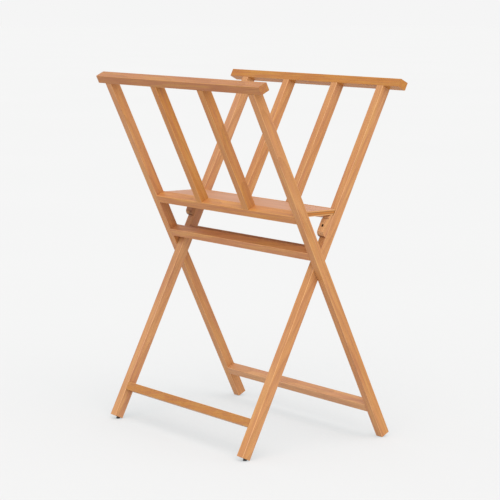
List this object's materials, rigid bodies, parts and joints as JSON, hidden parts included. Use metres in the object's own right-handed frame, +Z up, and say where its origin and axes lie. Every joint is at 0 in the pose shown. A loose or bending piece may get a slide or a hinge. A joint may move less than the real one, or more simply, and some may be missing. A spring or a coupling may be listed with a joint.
{
  "type": "folding print rack",
  "caption": "Folding wooden rack: two slatted beech frames crossing in an X form a trough for large flat sheets, over a lift-up plywood shelf.",
  "frame": {"origin": "on the floor, midway between the four feet", "axes": "+Z up, +X along the rails, -Y the side the outer frame's top rail leans to; the print trough opens upwards between the two rails"},
  "size_m": [0.69, 0.4972, 0.9497],
  "materials": {
    "beech": "oiled beech, satin, warm orange brown",
    "dowel_beech": "bare fluted beech dowel",
    "plywood": "plywood with a pinkish face veneer and oiled layered edges",
    "glide_plastic": "moulded black plastic, slightly scuffed",
    "hinge_steel": "pressed steel leaf, zinc plated",
    "zinc_steel": "zinc plated steel",
    "dark_steel": "browned steel"
  },
  "bodies": {
    "outer_frame": {"outer_top_rail": "beech", "outer_leg_left": "beech", "outer_leg_right": "beech", "outer_slat_left": "beech", "outer_slat_right": "beech", "outer_shelf_crossbar": "beech", "outer_lower_crossbar": "beech", "outer_foot_stretcher": "beech", "outer_dowels": "dowel_beech", "outer_glides": "glide_plastic", "outer_glide_nails": "zinc_steel", "frame_hinge_outer_leaves": "hinge_steel", "frame_hinge_pins": "zinc_steel", "frame_hinge_outer_screws": "zinc_steel", "shelf_hinge_crossbar_leaves": "dark_steel", "shelf_hinge_pins": "dark_steel", "shelf_hinge_crossbar_screws": "dark_steel"},
    "inner_frame": {"inner_top_rail": "beech", "inner_leg_left": "beech", "inner_leg_right": "beech", "inner_slat_left": "beech", "inner_slat_right": "beech", "inner_shelf_crossbar": "beech", "inner_lower_crossbar": "beech", "inner_foot_stretcher": "beech", "inner_dowels": "dowel_beech", "inner_glides": "glide_plastic", "inner_glide_nails": "zinc_steel", "frame_hinge_inner_leaves": "hinge_steel", "frame_hinge_inner_screws": "zinc_steel", "rest_block_left": "beech", "rest_block_right": "beech", "rest_block_screws": "dark_steel", "rest_pegs": "zinc_steel"},
    "shelf": {"shelf_board": "plywood", "shelf_hinge_board_leaves": "dark_steel", "shelf_hinge_board_screws": "dark_steel"}
  },
  "joints": [
    {"name": "fold", "type": "hinge", "parent": "outer_frame", "child": "inner_frame", "pos_m": [0, 0, 0.50498], "axis": [1, 0, 0], "range_deg": [0, 44]},
    {"name": "shelf_lift", "type": "hinge", "parent": "outer_frame", "child": "shelf", "pos_m": [0, -0.06154, 0.62198], "axis": [1, 0, 0], "range_deg": [0, 110]}
  ],
  "couplings": [
    {"joint": "shelf_lift", "follows": "fold", "ratio": 2.5}
  ]
}
